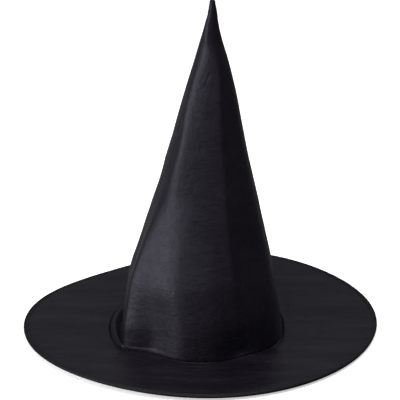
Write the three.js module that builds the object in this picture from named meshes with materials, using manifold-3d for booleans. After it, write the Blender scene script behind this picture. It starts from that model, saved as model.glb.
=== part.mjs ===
// Costume witch hat: a tall pointed cloth crown sewn to a round wired brim.
//
// Frame: millimetres, +Z up. The origin is the centre of the circle that the brim stands on,
// at the level of the underside of the brim edge binding. -Y is the front, +Y is the back,
// where the crown's one seam runs and where the ends of the hoop wire meet.
//
// Bodies: everything up to FOLD_Z0 stays with the brim. Above FOLD_Z1 the crown is a separate
// body that flops sideways about an axis along Y through the middle of the fold zone. The cloth
// between the two bends, so its three pieces (shell, interlining, thread) are nodes of their own.

import * as THREE from "three";
import Module from "manifold-3d";
import { mergeVertices } from "three/addons/utils/BufferGeometryUtils.js";

// ---- driving dimensions, mm ----
const BRIM_R = 190; // outside radius of the bound edge
const HEIGHT = 382; // brim underside to the tip of the crown
const HEAD_SEAM_R = 93.6; // radius of the seam between crown and brim
const CLOTH = 0.5; // brim cloth and binding tape
const SHELL = 0.8; // crown cloth
const LINER = 0.6; // crown interlining
const GAP = 0.3; // clearance between pieces that lie on each other
const LEAN = 0.0365; // the crown leans to +X by this much for each mm of height
const LEAN_Z = 3.5; // height at which the lean starts

const BIND_W = 5.5; // width of the edge binding on each face of the brim
const PANEL_R = 185.9; // outside radius of the brim panels
const WIRE_R = 187.6; // radius of the hoop, at the wire's centre
const WIRE_D = 1.2;
const FERRULE_D = 2.4;
const FERRULE_BORE = 1.8;
const FERRULE_L = 20;
const THREAD_R = 0.25;

const ALLOWANCE = 8; // seam allowance inside the head opening, turned up behind the crown

const FOLD_Z0 = 190; // the crown bends between these heights
const FOLD_Z1 = 250;
const LINER_Z0 = 15; // lower edge of the crown interlining
const LINER_Z1 = 345; // upper edge of the crown interlining
const SLIT = 5; // gap in the interlining along the back seam

const SEG = 48; // facets around

// Outside of the crown, radius against height: a straight cone that goes steeper below the
// middle and tucks out to the seam over the last centimetre and a half.
const CROWN = [
  [HEAD_SEAM_R, 3.8],
  [89.6, 7.6],
  [85.6, 14],
  [82.5, 24],
  [77.6, 50],
  [71.5, 86],
  [56.4, 147.5],
  [46.8, 190],
  [33.2, 250],
  [4.4, 377.2],
];

const wasm = await Module();
wasm.setup();

function crownR(z) {
  if (z <= CROWN[0][1]) return CROWN[0][0];
  for (let i = 1; i < CROWN.length; i++) {
    const [r0, z0] = CROWN[i - 1],
      [r1, z1] = CROWN[i];
    if (z <= z1) return r0 + ((r1 - r0) * (z - z0)) / (z1 - z0);
  }
  return CROWN[CROWN.length - 1][0];
}

// Heights of the crown profile between two limits, both limits included.
function levels(z0, z1) {
  return [z0, ...CROWN.map((p) => p[1]).filter((z) => z > z0 + 1 && z < z1 - 1), z1];
}

function signedVolume(g) {
  const n = g.index ? g.toNonIndexed() : g;
  const p = n.getAttribute("position");
  const a = new THREE.Vector3(),
    b = new THREE.Vector3(),
    c = new THREE.Vector3();
  let v = 0;
  for (let i = 0; i < p.count; i += 3) {
    a.fromBufferAttribute(p, i);
    b.fromBufferAttribute(p, i + 1);
    c.fromBufferAttribute(p, i + 2);
    v += a.dot(b.cross(c)) / 6;
  }
  return v;
}

// Turns a profile of [radius, height] pairs about Z. A profile that doesn't touch the axis at
// both ends is closed on itself.
function turned(profile, segments = SEG) {
  const onAxis = profile[0][0] === 0 && profile[profile.length - 1][0] === 0;
  const make = (pts) => {
    const v = pts.map(([r, z]) => new THREE.Vector2(r, z));
    if (!onAxis) v.push(v[0].clone());
    const g = new THREE.LatheGeometry(v, segments);
    g.rotateX(Math.PI / 2);
    return g;
  };
  const g = make(profile);
  return signedVolume(g) < 0 ? make([...profile].reverse()) : g;
}

function bare(geometry) {
  const g = geometry.clone();
  for (const name of Object.keys(g.attributes))
    if (name !== "position") g.deleteAttribute(name);
  return mergeVertices(g, 1e-4);
}

function solid(geometry) {
  const g = bare(geometry);
  return new wasm.Manifold(
    new wasm.Mesh({
      numProp: 3,
      vertProperties: new Float32Array(g.attributes.position.array),
      triVerts: new Uint32Array(g.index.array),
    }),
  );
}

function shape(manifold) {
  const m = manifold.getMesh();
  const v = new Float32Array(m.numVert * 3);
  for (let i = 0; i < m.numVert; i++)
    v.set(m.vertProperties.subarray(i * m.numProp, i * m.numProp + 3), i * 3);
  const g = new THREE.BufferGeometry()
    .setAttribute("position", new THREE.BufferAttribute(v, 3))
    .setIndex(new THREE.BufferAttribute(new Uint32Array(m.triVerts), 1));
  g.computeVertexNormals();
  return g;
}

// Cuts the gap along the back seam out of a turned piece.
function slitAtBack(geometry, width) {
  const cutter = new THREE.BoxGeometry(width, 140, HEIGHT * 2);
  cutter.translate(0, 70, 0);
  return shape(solid(geometry).subtract(solid(cutter)));
}

const leanMatrix = new THREE.Matrix4().set(
  1, 0, LEAN, -LEAN * LEAN_Z,
  0, 1, 0, 0,
  0, 0, 1, 0,
  0, 0, 0, 1,
);
function leaned(geometry) {
  return geometry.applyMatrix4(leanMatrix);
}

function tube(points, radius, steps, sides = 6, closed = false) {
  const path = new THREE.CatmullRomCurve3(
    points.map((p) => new THREE.Vector3(...p)),
    closed,
  );
  const section = new THREE.Shape();
  section.absarc(0, 0, radius, 0, Math.PI * 2, false);
  return new THREE.ExtrudeGeometry(section, {
    steps,
    curveSegments: sides,
    bevelEnabled: false,
    extrudePath: path,
  });
}

// Points along an arc in the plane at height z, from angle a0 to a1 in degrees.
function arc(radius, z, a0, a1, n) {
  return Array.from({ length: n + 1 }, (_, i) => {
    const a = THREE.MathUtils.degToRad(a0 + ((a1 - a0) * i) / n);
    return [radius * Math.cos(a), radius * Math.sin(a), z];
  });
}

// ---- materials ----
const cloth = new THREE.MeshStandardMaterial({ color: 0x15151a, roughness: 0.55, metalness: 0 });
const brimCloth = new THREE.MeshStandardMaterial({ color: 0x17171c, roughness: 0.6, metalness: 0 });
const tape = new THREE.MeshStandardMaterial({ color: 0x0d0d10, roughness: 0.75, metalness: 0 });
const interlining = new THREE.MeshStandardMaterial({ color: 0x0b0b0d, roughness: 0.95, metalness: 0 });
const thread = new THREE.MeshStandardMaterial({ color: 0x101013, roughness: 0.6, metalness: 0 });
const steel = new THREE.MeshStandardMaterial({ color: 0x8b8f94, roughness: 0.3, metalness: 1 });

const hat = new THREE.Group();
const brim = new THREE.Group();
const headBand = new THREE.Group();
const crown = new THREE.Group();
const crownTip = new THREE.Group();
hat.add(brim, headBand, crown, crownTip);

function add(group, name, geometry, material) {
  const mesh = new THREE.Mesh(geometry, material);
  mesh.name = name;
  group.add(mesh);
  return mesh;
}

// ---- head seam ----
// Layers of the seam are placed by u, the distance up the slope from the foot of the crown, and
// v, the depth inside the crown's outer face.
const SEAM_U = new THREE.Vector2(CROWN[1][0] - CROWN[0][0], CROWN[1][1] - CROWN[0][1]).normalize();
const SEAM_V = new THREE.Vector2(-SEAM_U.y, SEAM_U.x);
function seamPoint(u, v) {
  return [
    CROWN[0][0] + u * SEAM_U.x + v * SEAM_V.x,
    CROWN[0][1] + u * SEAM_U.y + v * SEAM_V.y,
  ];
}
// Radius at which the layer at depth v comes down to height z.
function seamAtHeight(v, z) {
  const u = (z - CROWN[0][1] - v * SEAM_V.y) / SEAM_U.y;
  return CROWN[0][0] + u * SEAM_U.x + v * SEAM_V.x;
}
const SHELL_V = SHELL * 0.71;
const V_TAPE_OUT = SHELL_V + GAP;
const V_CROWN_ALLOW = V_TAPE_OUT + CLOTH + GAP;
const V_FLANGE = V_CROWN_ALLOW + CLOTH + GAP;
const V_TAPE_IN = V_FLANGE + CLOTH + GAP;

// ---- brim: two cloth rings with a stiffener between them ----
// Heights of the stack, from the underside of the binding up.
const Z_BOTTOM = CLOTH + GAP; // underside of the bottom panel
const Z_STIFF = Z_BOTTOM + CLOTH + GAP;
const STIFF = 0.8;
const Z_TOP = Z_STIFF + STIFF + GAP;
const BRIM_T = Z_TOP + CLOTH + GAP + CLOTH; // whole thickness at the binding

const ring = (r0, r1, z0, z1) => turned([[r0, z0], [r1, z0], [r1, z1], [r0, z1]]);
// The panel under the brim carries on into the head opening as its seam allowance.
{
  const upper = Z_BOTTOM + CLOTH;
  add(
    brim,
    "brim_bottom_panel",
    turned([
      [PANEL_R, Z_BOTTOM],
      [PANEL_R, upper],
      [seamAtHeight(V_FLANGE, upper), upper],
      seamPoint(ALLOWANCE, V_FLANGE),
      seamPoint(ALLOWANCE, V_FLANGE + CLOTH),
      [seamAtHeight(V_FLANGE + CLOTH, Z_BOTTOM), Z_BOTTOM],
    ]),
    brimCloth,
  );
}
add(brim, "brim_interlining", ring(HEAD_SEAM_R + 1.6, PANEL_R - 2, Z_STIFF, Z_STIFF + STIFF), interlining);
add(brim, "brim_top_panel", ring(HEAD_SEAM_R + 0.5, PANEL_R, Z_TOP, Z_TOP + CLOTH), brimCloth);

// Tape folded over the edge, holding the hoop.
add(
  brim,
  "brim_edge_binding",
  turned([
    [BRIM_R - BIND_W, 0],
    [BRIM_R, 0],
    [BRIM_R, BRIM_T],
    [BRIM_R - BIND_W, BRIM_T],
    [BRIM_R - BIND_W, BRIM_T - CLOTH],
    [BRIM_R - 0.6, BRIM_T - CLOTH],
    [BRIM_R - 0.6, CLOTH],
    [BRIM_R - BIND_W, CLOTH],
  ]),
  tape,
);

// Lockstitch line round the binding, one ring of thread.
function threadRing(radius, z) {
  const pts = [];
  for (let i = 0; i < 6; i++) {
    const a = (i * Math.PI) / 3;
    pts.push([radius + THREAD_R * Math.cos(a), z + THREAD_R * Math.sin(a)]);
  }
  return turned(pts);
}
add(brim, "brim_binding_stitching", threadRing(BRIM_R - BIND_W + 1.6, BRIM_T + GAP + THREAD_R), thread);

// Spring-steel hoop: one turn of wire with its ends butted inside a crimped sleeve at the back.
const hoopZ = BRIM_T / 2;
const butt = THREE.MathUtils.radToDeg(1 / WIRE_R); // half of a 2 mm gap between the ends
add(brim, "brim_hoop_wire", tube(arc(WIRE_R, hoopZ, 90 + butt, 450 - butt, 96), WIRE_D / 2, 96), steel);
{
  const half = THREE.MathUtils.radToDeg(FERRULE_L / 2 / WIRE_R);
  const path = (e) =>
    arc(WIRE_R, hoopZ, 90 - half - e, 90 + half + e, 6);
  const outer = tube(path(0), FERRULE_D / 2, 6, 10);
  const bore = tube(path(0.5), FERRULE_BORE / 2, 6, 10);
  add(brim, "brim_hoop_ferrule", shape(solid(outer).subtract(solid(bore))), steel);
}

// ---- head opening: tape folded over the seam allowances, and its stitching ----
{
  const vIn = V_TAPE_IN + CLOTH;
  const cap = ALLOWANCE + GAP;
  add(
    headBand,
    "head_seam_binding",
    turned([
      seamPoint(0.4, V_TAPE_OUT),
      seamPoint(cap + CLOTH, V_TAPE_OUT),
      seamPoint(cap + CLOTH, vIn),
      seamPoint(0.9, vIn),
      seamPoint(0.9, V_TAPE_IN),
      seamPoint(cap, V_TAPE_IN),
      seamPoint(cap, V_TAPE_OUT + CLOTH),
      seamPoint(0.4, V_TAPE_OUT + CLOTH),
    ]),
    tape,
  );
  const [r, z] = seamPoint(2.4, vIn + GAP + THREAD_R);
  add(headBand, "head_seam_stitching", threadRing(r, z), thread);
}

// ---- crown ----
const cos = Math.cos(Math.atan(0.2264));
const outerR = (z) => crownR(z);
const innerR = (z) => crownR(z) - SHELL / cos;
const linerOut = (z) => innerR(z) - GAP / cos;
const linerIn = (z) => linerOut(z) - LINER / cos;

// A closed band between two radii over a stretch of heights.
function band(ro, ri, z0, z1) {
  const zs = levels(z0, z1);
  return [...zs.map((z) => [ro(z), z]), ...zs.reverse().map((z) => [ri(z), z])];
}

// The lower crown ends in its own seam allowance, folded back up inside it at the seam.
{
  const zs = levels(CROWN[0][1], FOLD_Z0 - GAP / 2);
  add(
    crown,
    "crown_panel_lower",
    leaned(
      turned([
        seamPoint(-0.5, 0),
        ...zs.map((z) => [outerR(z), z]),
        ...zs.slice(1).reverse().map((z) => [innerR(z), z]),
        seamPoint(0.1, SHELL_V),
        seamPoint(0.1, V_CROWN_ALLOW),
        seamPoint(ALLOWANCE, V_CROWN_ALLOW),
        seamPoint(ALLOWANCE, V_CROWN_ALLOW + CLOTH),
        seamPoint(-0.5, V_CROWN_ALLOW + CLOTH),
      ]),
    ),
    cloth,
  );
}

add(crown, "crown_panel_fold", leaned(turned(band(outerR, innerR, FOLD_Z0 + GAP / 2, FOLD_Z1 - GAP / 2))), cloth);
{
  const z0 = FOLD_Z1 + GAP / 2;
  const top = CROWN[CROWN.length - 1][1];
  add(
    crownTip,
    "crown_panel_tip",
    leaned(
      turned([
        [0, HEIGHT - 1.6],
        [2.2, HEIGHT - 2.2],
        [innerR(top), top],
        [innerR(z0), z0],
        [outerR(z0), z0],
        [outerR(top), top],
        [3.4, HEIGHT - 1.2],
        [1.6, HEIGHT],
        [0, HEIGHT],
      ]),
    ),
    cloth,
  );
}

// Interlining cone, cut clear of the back seam.
const liner = (z0, z1) => leaned(slitAtBack(turned(band(linerOut, linerIn, z0, z1)), SLIT));
add(crown, "crown_interlining_lower", liner(LINER_Z0, FOLD_Z0 - GAP / 2), interlining);
add(crown, "crown_interlining_fold", liner(FOLD_Z0 + GAP / 2, FOLD_Z1 - GAP / 2), interlining);
add(crownTip, "crown_interlining_tip", liner(FOLD_Z1 + GAP / 2, LINER_Z1), interlining);

// Thread of the back seam, on the inside of the shell, in the gap of the interlining.
function seamThread(z0, z1) {
  const pts = [];
  for (const z of levels(z0, z1)) pts.push([0, innerR(z) - 0.5 - THREAD_R, z]);
  return leaned(tube(pts, THREAD_R, Math.max(4, Math.round((z1 - z0) / 14))));
}
add(crown, "crown_seam_thread_lower", seamThread(LINER_Z0, FOLD_Z0 - 1), thread);
add(crown, "crown_seam_thread_fold", seamThread(FOLD_Z0 + 1, FOLD_Z1 - 1), thread);
add(crownTip, "crown_seam_thread_tip", seamThread(FOLD_Z1 + 1, LINER_Z1), thread);

// Seam allowances bunched inside the point, which make it blunt.
{
  const z0 = LINER_Z1 + 2.5,
    z1 = 375;
  const r = (z) => innerR(z) - 0.5;
  add(crownTip, "tip_seam_allowance", leaned(turned([[0, z0], [r(z0), z0], [r(z1), z1], [0, z1]], 24)), cloth);
}

export default hat;
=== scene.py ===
import math

import bpy
import numpy as np
from mathutils import Matrix, Vector


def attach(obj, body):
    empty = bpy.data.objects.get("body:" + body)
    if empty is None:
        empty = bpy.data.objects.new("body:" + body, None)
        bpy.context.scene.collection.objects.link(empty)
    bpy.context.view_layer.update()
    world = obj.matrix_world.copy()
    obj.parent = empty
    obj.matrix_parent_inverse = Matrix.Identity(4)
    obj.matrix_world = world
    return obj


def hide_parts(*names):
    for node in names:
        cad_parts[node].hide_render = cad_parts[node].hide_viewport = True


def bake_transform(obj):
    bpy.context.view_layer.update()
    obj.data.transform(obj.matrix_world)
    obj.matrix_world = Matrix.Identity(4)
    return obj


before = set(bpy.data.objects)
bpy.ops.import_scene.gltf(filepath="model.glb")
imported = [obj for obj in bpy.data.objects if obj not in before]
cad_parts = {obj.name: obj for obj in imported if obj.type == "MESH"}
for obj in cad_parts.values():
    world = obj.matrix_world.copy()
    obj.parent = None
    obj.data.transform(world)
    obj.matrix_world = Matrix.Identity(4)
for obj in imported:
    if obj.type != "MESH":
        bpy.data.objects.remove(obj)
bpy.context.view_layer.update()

MM = 0.001
TAU = 2 * math.pi
D2R = math.pi / 180

# --------------------------------------------------------------------------------------------
# Tools: periodic splines, noise, meshes
# --------------------------------------------------------------------------------------------


def wrap_spline(deg, values):
    """A smooth periodic function of an angle in degrees through (deg, value), by Fourier-free
    Catmull-Rom over uneven knots."""
    d = np.asarray(deg, float)
    v = np.asarray(values, float)
    order = np.argsort(d)
    d, v = d[order], v[order]
    d3 = np.concatenate([d - 360, d, d + 360])
    v3 = np.concatenate([v, v, v])
    slope = np.zeros_like(v3)
    slope[1:-1] = (v3[2:] - v3[:-2]) / (d3[2:] - d3[:-2])

    def f(a):
        a = np.mod(np.asarray(a, float) - d[0], 360) + d[0]
        i = np.clip(np.searchsorted(d3, a, side="right") - 1, 0, len(d3) - 2)
        h = d3[i + 1] - d3[i]
        t = (a - d3[i]) / h
        t2, t3 = t * t, t * t * t
        return (
            (2 * t3 - 3 * t2 + 1) * v3[i]
            + (t3 - 2 * t2 + t) * h * slope[i]
            + (-2 * t3 + 3 * t2) * v3[i + 1]
            + (t3 - t2) * h * slope[i + 1]
        )

    return f


def pchip(xs, ys):
    """A smooth function through the points that doesn't overshoot them."""
    x, y = np.asarray(xs, float), np.asarray(ys, float)
    h = np.diff(x)
    m = np.diff(y) / h
    s = np.zeros_like(y)
    for k in range(1, len(x) - 1):
        if m[k - 1] * m[k] > 0:
            w1, w2 = 2 * h[k] + h[k - 1], h[k] + 2 * h[k - 1]
            s[k] = (w1 + w2) / (w1 / m[k - 1] + w2 / m[k])
    s[0], s[-1] = m[0], m[-1]

    def f(a):
        a = np.clip(np.asarray(a, float), x[0], x[-1])
        i = np.clip(np.searchsorted(x, a, side="right") - 1, 0, len(x) - 2)
        t = (a - x[i]) / h[i]
        t2, t3 = t * t, t * t * t
        return (
            (2 * t3 - 3 * t2 + 1) * y[i]
            + (t3 - 2 * t2 + t) * h[i] * s[i]
            + (-2 * t3 + 3 * t2) * y[i + 1]
            + (t3 - t2) * h[i] * s[i + 1]
        )

    return f


def smooth(a, b, x):
    t = np.clip((np.asarray(x, float) - a) / (b - a), 0, 1)
    return t * t * (3 - 2 * t)


def hump(deg, centre, width):
    """1 at the centre angle, 0 beyond width degrees either side."""
    d = np.abs((np.asarray(deg, float) - centre + 180) % 360 - 180)
    return np.where(d < width, 0.5 + 0.5 * np.cos(np.pi * np.minimum(d, width) / width), 0)


def noise2(x, y, seed, px=0):
    """Gradient noise of two numpy arrays, about -0.7 to 0.7. px makes it repeat in x."""
    rng = np.random.RandomState(seed)
    perm = rng.permutation(512)
    ang = rng.rand(512) * TAU
    gx, gy = np.cos(ang), np.sin(ang)
    x, y = np.broadcast_arrays(np.asarray(x, float), np.asarray(y, float))
    xi, yi = np.floor(x).astype(int), np.floor(y).astype(int)
    xf, yf = x - xi, y - yi

    def corner(i, j):
        ii = xi + i
        if px:
            ii = np.mod(ii, px)
        k = perm[(perm[np.mod(ii, 512)] + yi + j) % 512]
        return gx[k] * (xf - i) + gy[k] * (yf - j)

    u = xf**3 * (xf * (xf * 6 - 15) + 10)
    v = yf**3 * (yf * (yf * 6 - 15) + 10)
    a = corner(0, 0) * (1 - u) + corner(1, 0) * u
    b = corner(0, 1) * (1 - u) + corner(1, 1) * u
    return a * (1 - v) + b * v


def new_mesh(name, verts_mm, faces, uvs=None, smooth_shade=True):
    me = bpy.data.meshes.new(name)
    me.from_pydata((np.asarray(verts_mm, float) * MM).tolist(), [], faces)
    me.update()
    if uvs is not None:
        layer = me.uv_layers.new(name="Cloth")
        loops = np.zeros(len(me.loops), int)
        me.loops.foreach_get("vertex_index", loops)
        layer.data.foreach_set("uv", np.asarray(uvs, float)[loops].ravel())
    if smooth_shade:
        me.polygons.foreach_set("use_smooth", [True] * len(me.polygons))
    ob = bpy.data.objects.new(name, me)
    bpy.context.scene.collection.objects.link(ob)
    return ob


def grid_faces(rows, cols, closed):
    """Quads of a rows x cols grid of points, row by row. closed joins the last column to the first."""
    f = []
    last = cols if closed else cols - 1
    for i in range(rows - 1):
        for j in range(last):
            k = (j + 1) % cols
            f.append((i * cols + j, i * cols + k, (i + 1) * cols + k, (i + 1) * cols + j))
    return f


def face_out(ob, outward):
    """Turns every face over if the mesh's faces, as a whole, look against outward(centre)."""
    me = ob.data
    s = 0.0
    for p in me.polygons:
        s += p.normal.dot(Vector(outward(p.center))) * p.area
    if s < 0:
        me.flip_normals()
    return ob


def solidify(ob, thickness_mm, offset=0.0):
    m = ob.modifiers.new("thickness", "SOLIDIFY")
    m.thickness = thickness_mm * MM
    m.offset = offset
    m.use_rim = True
    m.use_even_offset = False
    return m


def seg_tube(paths, radius_mm, sides=8, taper=True, name="thread"):
    """Closed tubes along short paths (each an n x 3 array in mm), in one mesh."""
    verts, faces = [], []
    for path in paths:
        p = np.asarray(path, float)
        n = len(p)
        t = np.gradient(p, axis=0)
        t /= np.linalg.norm(t, axis=1)[:, None] + 1e-12
        up = np.array([0.0, 0.0, 1.0])
        if abs(t[0] @ up) > 0.9:
            up = np.array([1.0, 0.0, 0.0])
        base = len(verts)
        prev = None
        for i in range(n):
            if prev is None:
                a = np.cross(t[i], up)
            else:
                a = prev - t[i] * (prev @ t[i])
            a /= np.linalg.norm(a) + 1e-12
            prev = a
            b = np.cross(t[i], a)
            r = radius_mm
            if taper and i in (0, n - 1):
                r = radius_mm * 0.55
            for k in range(sides):
                ang = TAU * k / sides
                verts.append(p[i] + r * (math.cos(ang) * a + math.sin(ang) * b))
        for i in range(n - 1):
            for k in range(sides):
                k2 = (k + 1) % sides
                faces.append(
                    (
                        base + i * sides + k,
                        base + i * sides + k2,
                        base + (i + 1) * sides + k2,
                        base + (i + 1) * sides + k,
                    )
                )
        c0, c1 = len(verts), len(verts) + 1
        verts.append(p[0] - t[0] * radius_mm * 0.35)
        verts.append(p[-1] + t[-1] * radius_mm * 0.35)
        for k in range(sides):
            k2 = (k + 1) % sides
            faces.append((c0, base + k2, base + k))
            faces.append((c1, base + (n - 1) * sides + k, base + (n - 1) * sides + k2))
    return new_mesh(name, verts, faces)


# --------------------------------------------------------------------------------------------
# The brim as a surface. Angles are in degrees: 0 right (+X), 90 back, 180 left, 270 front.
# --------------------------------------------------------------------------------------------

RIM_R = 190.0
BIND_W = 5.5
STITCH_IN = 4.0
Z_TOP = 3.0  # height of the top cloth's middle on a flat brim
Z_BOT = 1.05

# the seam between crown and brim is a rounded, uneven polygon, not a circle
SEAM = wrap_spline(
    [4.6, 14, 24.5, 40, 60, 80, 100, 120, 133, 143, 156.5, 168, 180, 192, 203.5, 212, 217, 222, 229.6, 235, 242, 249.6, 257.4, 269, 278.7, 290.8, 302.8, 315, 326.7, 337, 344.6, 355],
    [87.9, 89.3, 91.6, 91.6, 90.0, 90.4, 90.0, 93.0, 98.5, 102.5, 100.3, 98.6, 98.4, 99.6, 102.7, 105.4, 105.6, 101.5, 94.9, 92.2, 92.4, 95.5, 98.0, 98.1, 97.1, 92.3, 89.6, 91.2, 93.4, 92.3, 90.3, 88.2],
)

# the wire hoop in the rim is a little out of round, and the brim rolls like a shallow saddle;
# mean, then cosine and sine of 1 to 5 times the angle, mm
HOOP_R = [0.3, 0.46, 0.49, 0.34, 3.62, -1.88, 0.37, 0.64, -0.28, 0.14, 0.3]
HOOP_Z = [4.25, 0.03, 0.33, -0.82, 2.41, -0.7, -0.81, 0.5, -0.63, 0.15, 0.55]


def series(c, th):
    th = np.asarray(th, float) * D2R
    v = np.full_like(th, c[0])
    for k in range(1, 6):
        v = v + c[2 * k - 1] * np.cos(k * th) + c[2 * k] * np.sin(k * th)
    return v


def RIM_DR(th):
    return series(HOOP_R, th)


def RIM_Z(th):
    return np.maximum(series(HOOP_Z, th), 0.12)


def SEAM_Z(th):
    return 2.1 + 0.36 * (series(HOOP_Z, th) - HOOP_Z[0])


def brim_wave(x, y):
    """How far the brim stands above its flat shape at a point, mm."""
    x, y = np.asarray(x, float), np.asarray(y, float)
    th = np.degrees(np.arctan2(y, x))
    r = np.hypot(x, y)
    rs = SEAM(th)
    t = np.clip((r - rs) / (RIM_R - rs), -0.2, 1.05)
    e = smooth(0.0, 1.0, t)
    z = SEAM_Z(th) * (1 - e) + RIM_Z(th) * e
    # the brim isn't quite flat between its two edges
    body = np.sin(np.pi * np.clip(t, 0, 1))
    z = z + body * (0.9 * hump(th, 165, 45) + 0.7 * hump(th, 232, 38))
    # a dip along the right of the seam with a swell beside it, and a broad dip further out
    inside = smooth(0.0, 0.12, t) * (1 - smooth(0.8, 0.97, t))
    z = z - 1.5 * inside * np.exp(-(((x - 97) / 4.6) ** 2) - ((y - 44) / 30.0) ** 2)
    z = z + 0.8 * inside * np.exp(-(((x - 107) / 6.0) ** 2) - ((y - 42) / 34.0) ** 2)
    z = z - 1.3 * inside * np.exp(-(((x - 146) / 20.0) ** 2) - ((y + 28) / 14.0) ** 2)
    z = z + 0.8 * inside * np.exp(-(((x - 142) / 26.0) ** 2) - ((y + 2) / 15.0) ** 2)
    z = z + 1.5 * inside * noise2(x / 85 + 5.2, y / 36 + 2.9, 9)
    return np.maximum(z, -0.15)


def brim_relief(x, y):
    """Soft dents, streaks and pulls of the top cloth alone, mm."""
    x, y = np.asarray(x, float), np.asarray(y, float)
    th = np.degrees(np.arctan2(y, x))
    r = np.hypot(x, y)
    rs = SEAM(th)
    rim = RIM_R - BIND_W
    inside = smooth(0, 12, r - rs) * smooth(0, 10, rim - r)
    z = 0.0
    # pulls that run along the front of the seam
    front = hump(th, 262, 48)
    d = r - rs
    z = z + front * 0.42 * np.sin(d / 9.5 * TAU + 1.2 + 0.02 * x) * np.exp(-((d - 14) / 13.0) ** 2)
    # wide slack waves and fine slub in the weft direction
    z = z + 0.60 * noise2(x / 62 + 3.1, y / 40 + 1.7, 5)
    z = z + 0.60 * noise2(x / 48 + 1.3, y / 15 + 4.2, 6)
    z = z + 0.20 * noise2(x / 30 + 7.3, y / 6.0 + 2.2, 7)
    z = z + 0.05 * noise2(x / 16 + 2.3, y / 2.4 + 6.2, 8)
    # tension wrinkles slanting out from the corners of the seam
    for c, turn, amp, lo, hi in [(215, 34, 0.55, 0, 70), (140, -30, 0.5, 0, 60), (325, -36, 0.5, 0, 62), (60, 30, 0.4, 0, 60)]:
        a = (c + turn) * D2R
        ux, uy = math.cos(a), math.sin(a)
        ox, oy = float(SEAM(c)) * math.cos(c * D2R), float(SEAM(c)) * math.sin(c * D2R)
        along = (x - ox) * ux + (y - oy) * uy
        across = -(x - ox) * uy + (y - oy) * ux
        w = 4.0 + 0.10 * np.clip(along, 0, None)
        z = z + amp * np.exp(-((across / w) ** 2)) * smooth(-6, 12, along) * (1 - smooth(lo + 20, hi, along))
        z = z - 0.7 * amp * np.exp(-(((across - 2.0 * w) / w) ** 2)) * smooth(-6, 12, along) * (1 - smooth(lo + 15, hi * 0.9, along))
    z = (z + 0.4) * inside + 0.12
    # the cloth can stand off the interlining but not sink into it
    return np.where(z < 0, -0.3 * (1 - np.exp(z / 0.3)), z)


def rim_point(th, dr, z):
    """A point dr mm inwards from the rim (negative is outwards), z above the flat brim's base."""
    r = RIM_R + RIM_DR(th) - dr
    x, y = r * np.cos(th * D2R), r * np.sin(th * D2R)
    return np.stack([x, y, z + brim_wave(x, y)], -1)


# --------------------------------------------------------------------------------------------
# The crown as a surface
# --------------------------------------------------------------------------------------------

# left and right outline of the crown against height, mm
OUT_Z = [12, 26, 50, 74, 86, 100, 124, 147.6, 171, 195, 218, 242, 265.6, 289, 313, 336.5, 350, 360, 368, 374, 379]
OUT_L = [-84.6, -84.2, -80.2, -74.8, -70.6, -66.0, -58.9, -52.0, -44.9, -39.0, -32.8, -26.6, -20.5, -14.2, -7.4, -1.2, 2.3, 4.8, 6.8, 7.9, 8.8]
OUT_R = [83.0, 81.6, 78.3, 74.9, 72.9, 70.1, 65.3, 60.8, 56.0, 51.2, 46.8, 42.6, 38.6, 33.9, 28.4, 21.9, 19.0, 17.4, 16.4, 15.6, 14.6]
OUT_Z = [4.84 + 0.988 * z for z in OUT_Z]
out_l, out_r = pchip(OUT_Z, OUT_L), pchip(OUT_Z, OUT_R)
TIP_Z = 381.2

COLS = 320  # columns of the crown, equal steps of cloth, from the back seam round by the left
FINE = 1280


def track(zs, vs, soft=9.0):
    """A value against height, straight between the given heights and then softened."""
    grid = np.arange(-40, 441, 1.0)
    raw = np.interp(grid, zs, vs)
    w = np.exp(-0.5 * (np.arange(-30, 31) / soft) ** 2)
    out = np.convolve(np.pad(raw, 30, mode="edge"), w / w.sum(), mode="valid")
    return lambda z: float(np.interp(z, grid, out))


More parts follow.
